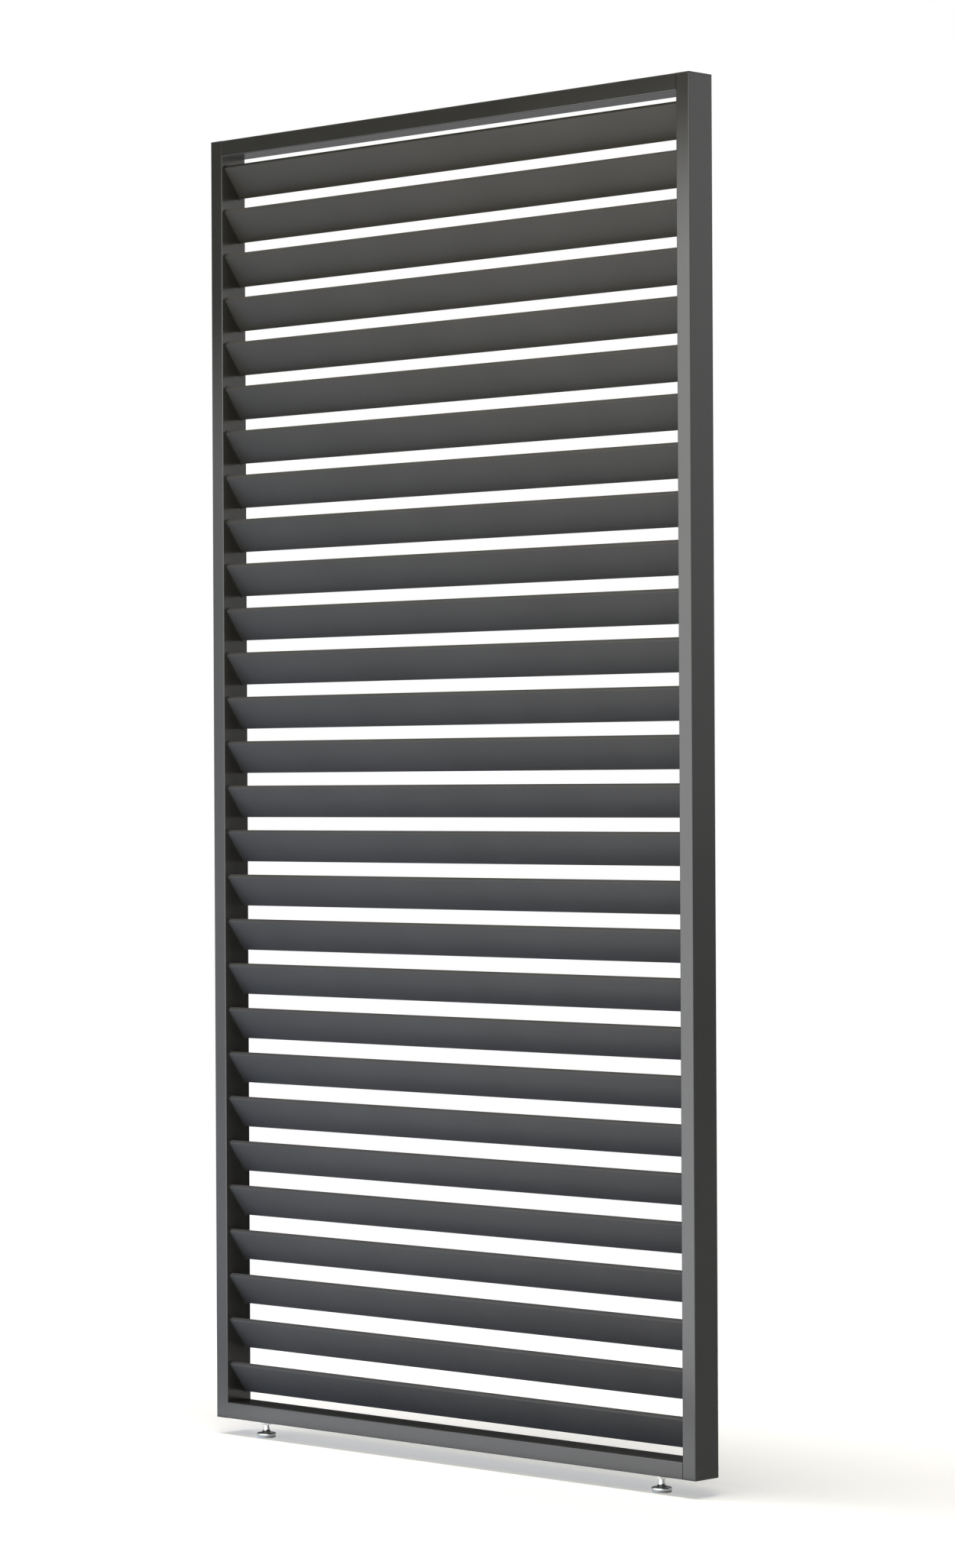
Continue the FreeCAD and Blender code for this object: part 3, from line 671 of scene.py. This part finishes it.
def moulded(name, dark, light, grain, roughness):
    """A moulded plastic with a grain of so many millimetres between two shades."""
    finish, tree, place = new_finish(name)
    mould_grain = add_node(
        tree,
        "ShaderNodeTexNoise",
        {"Vector": place, "Scale": every(grain), "Detail": 3},
    )
    cloud = add_node(
        tree,
        "ShaderNodeTexNoise",
        {"Vector": place, "Scale": every(PLASTIC_CLOUD), "Detail": 2},
    )
    tone = add_node(tree, "ShaderNodeValToRGB", {"Fac": cloud.outputs["Fac"]})
    for stop, where, shade in zip(tone.color_ramp.elements, SHADE_RANGE, (dark, light)):
        stop.position, stop.color = where, colour(shade)
    bump = add_node(
        tree,
        "ShaderNodeBump",
        {
            "Height": mould_grain.outputs["Fac"],
            "Strength": GRAIN_STRENGTH,
            "Distance": GRAIN_DEPTH,
        },
    )
    dulling = add_node(
        tree,
        "ShaderNodeMapRange",
        {
            "Value": mould_grain.outputs["Fac"],
            "To Min": roughness - GRAIN_DULLING,
            "To Max": roughness + GRAIN_DULLING,
        },
    )
    plastic = add_node(
        tree,
        "ShaderNodeBsdfPrincipled",
        {
            "Base Color": tone.outputs["Color"],
            "Roughness": dulling.outputs["Result"],
            "Normal": bump.outputs["Normal"],
        },
    )
    lay_on(tree, plastic)
    return finish


cap_plastic = moulded("moulded_abs_cap", "#161718", "#1D1E1F", grain=0.5, roughness=0.5)
sleeve_plastic = moulded("moulded_nylon_sleeve", "#1B1C1D", "#232425", grain=0.6, roughness=0.45)
glide_plastic = moulded(
    "moulded_polyethylene_glide", "#C3C4C2", "#CFD0CE", grain=0.7, roughness=0.4
)
print("plastics:", cap_plastic.name, sleeve_plastic.name, glide_plastic.name)

# %% [markdown]
# ### Metals
#
# The feet are satin chrome over turned steel: a soft mirror, with fine rings left by the lathe.
# Studs, inserts and corner screws are zinc-plated, duller, with a cloudy passivation. The plugs
# inside the rails are die-cast aluminium with a matt, pebbled skin. They share one tree, where a
# noise that is squeezed along the upright axis draws lathe rings, and an even one draws clouds.

# %% The metals
MARK_STRENGTH = 0.3


def metal(name, dark, light, roughness, pattern, squeeze, depth):
    """A metal between two shades; the pattern's size is in millimetres, squeezed along Z."""
    finish, tree, place = new_finish(name)
    stretched = add_node(tree, "ShaderNodeMapping", {"Vector": place, "Scale": (1, 1, squeeze)})
    marks = add_node(
        tree,
        "ShaderNodeTexNoise",
        {"Vector": stretched.outputs["Vector"], "Scale": every(pattern), "Detail": 3},
    )
    tone = add_node(tree, "ShaderNodeValToRGB", {"Fac": marks.outputs["Fac"]})
    for stop, where, shade in zip(tone.color_ramp.elements, SHADE_RANGE, (dark, light)):
        stop.position, stop.color = where, colour(shade)
    dulling = add_node(
        tree,
        "ShaderNodeMapRange",
        {"Value": marks.outputs["Fac"], "To Min": roughness[0], "To Max": roughness[1]},
    )
    bump = add_node(
        tree,
        "ShaderNodeBump",
        {"Height": marks.outputs["Fac"], "Strength": MARK_STRENGTH, "Distance": depth * MM},
    )
    surface = add_node(
        tree,
        "ShaderNodeBsdfPrincipled",
        {
            "Base Color": tone.outputs["Color"],
            "Metallic": 1,
            "Roughness": dulling.outputs["Result"],
            "Normal": bump.outputs["Normal"],
        },
    )
    lay_on(tree, surface)
    return finish


chrome = metal(
    "chromed_turned_steel",
    "#B9BBBC",
    "#C6C8C9",
    roughness=(0.2, 0.3),
    pattern=8,
    squeeze=12,
    depth=0.02,
)
zinc = metal(
    "zinc_plated_steel",
    "#A4A6A4",
    "#B9BAB6",
    roughness=(0.28, 0.42),
    pattern=2,
    squeeze=1,
    depth=0.02,
)
casting = metal(
    "die_cast_aluminium",
    "#8E9092",
    "#A3A5A6",
    roughness=(0.45, 0.6),
    pattern=0.8,
    squeeze=1,
    depth=0.05,
)
print("metals:", chrome.name, zinc.name, casting.name)

# %% [markdown]
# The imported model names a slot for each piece's material. A table says which finish goes in each
# slot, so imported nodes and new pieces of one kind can't end up with different ones.

# %% Each piece gets the finish of its slot
FINISHES = {
    "frame_coat": frame_coat,
    "slat_coat": slat_coat,
    "cap_plastic": cap_plastic,
    "sleeve_plastic": sleeve_plastic,
    "plug_metal": casting,
    "plated_steel": zinc,
    "foot_chrome": chrome,
    "glide_plastic": glide_plastic,
}

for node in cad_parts.values():
    for slot in node.material_slots:
        slot.material = FINISHES[slot.material.name]
for piece in new_pieces:
    piece.data.materials.clear()
    piece.data.materials.append(FINISHES[piece["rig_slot"]])
print("finishes laid on", len(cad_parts) + len(new_pieces), "objects")

# %% [markdown]
# ## Camera
#
# The picture was taken from the front right, about seven metres off, level with the screen's
# middle. A long lens keeps the uprights nearly parallel. The camera is set by its place and three
# angles, and its lens by how many pixels tall the picture is.

# %% The camera
PICTURE_HEIGHT = 2052
FOCAL_PIXELS = 5981.03
SENSOR = 36
EYE = Vector((4.7869, -4.8913, 1.0109))
YAW, PITCH_UP, ROLL = (math.radians(angle) for angle in (44.0691, 0.0477, -0.2813))

camera_data = bpy.data.cameras.new("catalogue_camera")
camera_data.sensor_width = SENSOR
camera_data.lens = FOCAL_PIXELS * SENSOR / PICTURE_HEIGHT
camera = bpy.data.objects.new("catalogue_camera", camera_data)
bpy.context.collection.objects.link(camera)
camera.matrix_world = (
    Matrix.Translation(EYE)
    @ Matrix.Rotation(YAW, 4, "Z")
    @ Matrix.Rotation(math.pi / 2 + PITCH_UP, 4, "X")
    @ Matrix.Rotation(ROLL, 4, "Z")
)
bpy.context.scene.camera = camera
print("lens:", round(camera_data.lens, 2), "mm")

# %% [markdown]
# ## Studio
#
# The screen stands in a white studio. The white is only what the camera and the reflections see:
# the light that falls on the screen comes from a soft grey surround and from lamps. Near the
# screen the floor is a real one that takes its shadow, and further out it fades to plain white.

# %% Surround
SURROUND_LIGHT = 0.14

scene = bpy.context.scene
scene.view_settings.view_transform = "Standard"
world = bpy.data.worlds.new("studio")
scene.world = world
world.use_nodes = True
air = world.node_tree
air.nodes.clear()


def seen_directly(tree):
    """1 for rays from the camera, from a reflection or through glass, and 0 for the rest."""
    path = add_node(tree, "ShaderNodeLightPath", {})
    mirrored = add_node(
        tree,
        "ShaderNodeMath",
        {0: path.outputs["Is Camera Ray"], 1: path.outputs["Is Glossy Ray"]},
        operation="MAXIMUM",
    )
    return add_node(
        tree,
        "ShaderNodeMath",
        {0: mirrored.outputs[0], 1: path.outputs["Is Transmission Ray"]},
        operation="MAXIMUM",
    ).outputs[0]


strength = add_node(
    air,
    "ShaderNodeMapRange",
    {"Value": seen_directly(air), "To Min": SURROUND_LIGHT, "To Max": 1},
)
glow = add_node(
    air,
    "ShaderNodeBackground",
    {"Color": colour("#FFFFFF"), "Strength": strength.outputs["Result"]},
)
add_node(air, "ShaderNodeOutputWorld", {"Surface": glow.outputs[0]})
print("surround:", world.name, "nodes:", len(air.nodes))

# %% [markdown]
# The floor is a wide sheet of pale paper. Where the screen stands it takes light and shadow, lifted
# a little so that its white meets the studio's. Its far part gives off plain white to the camera
# and to reflections, so the sheet has no edge to be seen.

# %% Floor
FLOOR_HALF = 60
FLOOR_NEAR, FLOOR_FAR = 0.9, 2.4
FLOOR_LIFT = 0.35
FLOOR_PAPER = "#E6E6E6"

floor = begin("floor", bpy.ops.mesh.primitive_plane_add, size=2 * FLOOR_HALF)
bpy.ops.object.mode_set(mode="OBJECT")
floor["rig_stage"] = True
paper, tree, place = new_finish("white_paper_floor")
seen = seen_directly(tree)
distance = add_node(tree, "ShaderNodeVectorMath", {0: place}, operation="LENGTH").outputs["Value"]
far = add_node(
    tree,
    "ShaderNodeMapRange",
    {"Value": distance, "From Min": FLOOR_NEAR, "From Max": FLOOR_FAR},
    interpolation_type="SMOOTHSTEP",
)
far_seen = add_node(
    tree, "ShaderNodeMath", {0: far.outputs["Result"], 1: seen}, operation="MULTIPLY"
)
lift = add_node(tree, "ShaderNodeMath", {0: seen, 1: FLOOR_LIFT}, operation="MULTIPLY")
paper_skin = add_node(tree, "ShaderNodeBsdfDiffuse", {"Color": colour(FLOOR_PAPER)})
paper_lift = add_node(tree, "ShaderNodeEmission", {"Strength": lift.outputs[0]})
near_paper = add_node(
    tree, "ShaderNodeAddShader", {0: paper_skin.outputs[0], 1: paper_lift.outputs[0]}
)
far_paper = add_node(tree, "ShaderNodeEmission", {"Strength": 1})
lay_on(
    tree,
    add_node(
        tree,
        "ShaderNodeMixShader",
        {"Fac": far_seen.outputs[0], 1: near_paper.outputs[0], 2: far_paper.outputs[0]},
    ),
)
floor.data.materials.append(paper)
print("floor:", 2 * FLOOR_HALF, "m wide, plain white from", FLOOR_FAR, "m out")

# %% [markdown]
# Four soft lamps light the screen. A long strip overhead, just in front, whitens the floor and
# catches the slats' upper edges. A low, cool one at the front left lights the slats' faces, which
# lean down. A small warm one before the top reaches only the upper slats, and one at the back left
# keeps the back from going black. None shows in a reflection, because what the flat tubes mirror is
# laid out with cards in the next step.

# %% Lamps
def add_lamp(name, place, aim, width, height, power, tint):
    """A rectangular lamp that no reflection sees, turned to face a point."""
    data = bpy.data.lights.new(name, "AREA")
    data.shape, data.size, data.size_y, data.energy = "RECTANGLE", width, height, power
    data.color = colour(tint)[:3]
    lamp = bpy.data.objects.new(name, data)
    lamp.location = place
    lamp.rotation_euler = (Vector(aim) - Vector(place)).to_track_quat("-Z", "Y").to_euler()
    lamp.visible_camera = lamp.visible_glossy = False
    bpy.context.collection.objects.link(lamp)


add_lamp(
    "overhead_lamp",
    place=(0, -0.9, 7),
    aim=(0, -0.9, 0),
    width=5,
    height=1.4,
    power=380,
    tint="#FFFAF2",
)
add_lamp(
    "front_lamp",
    place=(-1.2, -1.8, 0.15),
    aim=(0, 0, 0.15),
    width=2.4,
    height=0.28,
    power=37,
    tint="#C0D8FF",
)
add_lamp(
    "upper_lamp",
    place=(0.2, -1.3, 1.95),
    aim=(0.1, 0, 1.75),
    width=1.2,
    height=0.3,
    power=8,
    tint="#FFEFA0",
)
add_lamp(
    "back_lamp",
    place=(-2.4, 3.4, 1.6),
    aim=(0, 0, 1),
    width=2.4,
    height=2,
    power=70,
    tint="#FFFFFF",
)
print("lamps:", [lamp.name for lamp in bpy.data.lights])

# %% [markdown]
# A flat satin tube is a dim mirror, so the photographer's cards draw its tones. They light nothing
# and shade nothing, and only reflections find them. Each is a plane with its corners pulled into
# place, and gets its brightness from a small tree of its own.

# %% Making a card
def add_card(name, low_edge, high_edge, brightness):
    """A card that only reflections see, from a low edge to a high one, with its own brightness."""
    card = begin(name, bpy.ops.mesh.primitive_plane_add, size=1)
    bpy.ops.object.mode_set(mode="OBJECT")
    for vert, corner in zip(card.data.vertices, (*low_edge, *high_edge)):
        vert.co = corner
    finish, tree, place = new_finish(f"{name}_paper")
    lay_on(tree, add_node(tree, "ShaderNodeEmission", {"Strength": brightness(tree, place)}))
    card.data.materials.append(finish)
    card.visible_camera = card.visible_diffuse = card.visible_shadow = False
    card.visible_transmission = False
    card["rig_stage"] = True
    corners = [tuple(round(value, 3) for value in vert.co) for vert in card.data.vertices]
    print(name, "corners:", corners)


# %% [markdown]
# A tall card in front gives the stiles and the top rail their sheen. It is brightest before the
# screen, weaker to both sides, and fades out along a slant near the top, where the frame goes dark.

# %% The card in front
FRONT_PEAK, FRONT_REST = 4.2, 1.27
FRONT_MIDDLE = 0.1
FRONT_INNER, FRONT_OUTER = 0.4, 1.6
FRONT_SLANT = (-0.25, 0, 1)
FRONT_FULL, FRONT_GONE = 2, 2.26


def front_sheen(tree, place):
    """Brightest before the screen, fading to both sides, and out at the top along a slant."""
    slant = add_node(
        tree, "ShaderNodeVectorMath", {0: place, 1: FRONT_SLANT}, operation="DOT_PRODUCT"
    )
    fade = add_node(
        tree,
        "ShaderNodeMapRange",
        {"Value": slant.outputs["Value"], "From Min": FRONT_GONE, "From Max": FRONT_FULL},
        interpolation_type="SMOOTHSTEP",
    )
    across = add_node(tree, "ShaderNodeSeparateXYZ", {"Vector": place})
    aside = add_node(
        tree, "ShaderNodeMath", {0: across.outputs["X"], 1: FRONT_MIDDLE}, operation="SUBTRACT"
    )
    distance = add_node(tree, "ShaderNodeMath", {0: aside.outputs[0]}, operation="ABSOLUTE")
    falloff = add_node(
        tree,
        "ShaderNodeMapRange",
        {
            "Value": distance.outputs[0],
            "From Min": FRONT_OUTER,
            "From Max": FRONT_INNER,
            "To Min": FRONT_REST,
            "To Max": FRONT_PEAK,
        },
    )
    return add_node(
        tree,
        "ShaderNodeMath",
        {0: fade.outputs["Result"], 1: falloff.outputs["Result"]},
        operation="MULTIPLY",
    ).outputs[0]


add_card(
    "front_card",
    low_edge=((-4, -0.9, 0), (3, -0.9, 0)),
    high_edge=((-4, -0.9, 2), (3, -0.9, 3.75)),
    brightness=front_sheen,
)

# %% [markdown]
# The bottom rail is so low that it mirrors the floor just before it. So a card lies there, flat,
# and is duller at its left end, where the left stile's foot sees it.

# %% The card on the floor
GLEAM_LEFT, GLEAM_RIGHT = -0.75, -0.6
GLEAM_DULL, GLEAM_BRIGHT = 1.45, 2.75
GLEAM_HEIGHT = 0.004


def floor_gleam(tree, place):
    """Bright before the bottom rail, and duller at the left end."""
    across = add_node(tree, "ShaderNodeSeparateXYZ", {"Vector": place})
    return add_node(
        tree,
        "ShaderNodeMapRange",
        {
            "Value": across.outputs["X"],
            "From Min": GLEAM_LEFT,
            "From Max": GLEAM_RIGHT,
            "To Min": GLEAM_DULL,
            "To Max": GLEAM_BRIGHT,
        },
    ).outputs["Result"]


add_card(
    "low_card",
    low_edge=((-0.75, -0.14, GLEAM_HEIGHT), (0.42, -0.14, GLEAM_HEIGHT)),
    high_edge=((-1.15, -0.6, GLEAM_HEIGHT), (0.3, -0.6, GLEAM_HEIGHT)),
    brightness=floor_gleam,
)

# %% [markdown]
# Two cards stand behind. The one at the right is what the right stile's outer side mirrors: dark at
# the floor and white above. The one at the left is dark, and keeps the edge-on faces of the rails
# from flaring.

# %% The cards behind
BACK_LEFT, BACK_RIGHT = 0.25, 0.45
BACK_BLACK, BACK_GREY, BACK_WHITE = 0.05, 0.5, 1.35
BACK_LOW, BACK_HIGH = 0.7, 1.9
DARK_LOW, DARK_HIGH = 0.85, 1.2
DARK_BLACK, DARK_GREY = 0.02, 0.3


def back_rise(tree, place):
    """Rises to white from black at the left, and from grey at the right, near the floor."""
    axes = add_node(tree, "ShaderNodeSeparateXYZ", {"Vector": place})
    lowest = add_node(
        tree,
        "ShaderNodeMapRange",
        {
            "Value": axes.outputs["X"],
            "From Min": BACK_LEFT,
            "From Max": BACK_RIGHT,
            "To Min": BACK_BLACK,
            "To Max": BACK_GREY,
        },
    )
    return add_node(
        tree,
        "ShaderNodeMapRange",
        {
            "Value": axes.outputs["Z"],
            "From Min": BACK_LOW,
            "From Max": BACK_HIGH,
            "To Min": lowest.outputs["Result"],
            "To Max": BACK_WHITE,
        },
    ).outputs["Result"]


def darkness(tree, place):
    """Black for the bottom rail's upper side, and dark grey above for the top rail's underside."""
    height = add_node(tree, "ShaderNodeSeparateXYZ", {"Vector": place})
    return add_node(
        tree,
        "ShaderNodeMapRange",
        {
            "Value": height.outputs["Z"],
            "From Min": DARK_LOW,
            "From Max": DARK_HIGH,
            "To Min": DARK_BLACK,
            "To Max": DARK_GREY,
        },
    ).outputs["Result"]


add_card(
    "back_card",
    low_edge=((-1.3, 2, 0), (1.1, -0.4, 0)),
    high_edge=((-1, 3.35, 3), (1.8, -0.2, 3)),
    brightness=back_rise,
)
add_card(
    "dark_card",
    low_edge=((-4.5, 0.5, 0), (-0.5, 4.5, 0)),
    high_edge=((-4.5, 0.5, 4), (-0.5, 4.5, 4)),
    brightness=darkness,
)

# %% [markdown]
# ## Sizes, and the end
#
# Both boxes are printed, the imported model's and the screen's with the modelled pieces in it, so
# that they can be compared.

# %% Print the boxes
boxes = {"cad": cad_box, "visual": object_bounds()}
for name, box in boxes.items():
    print(name, "box:", [[round(value, 5) for value in corner] for corner in box])
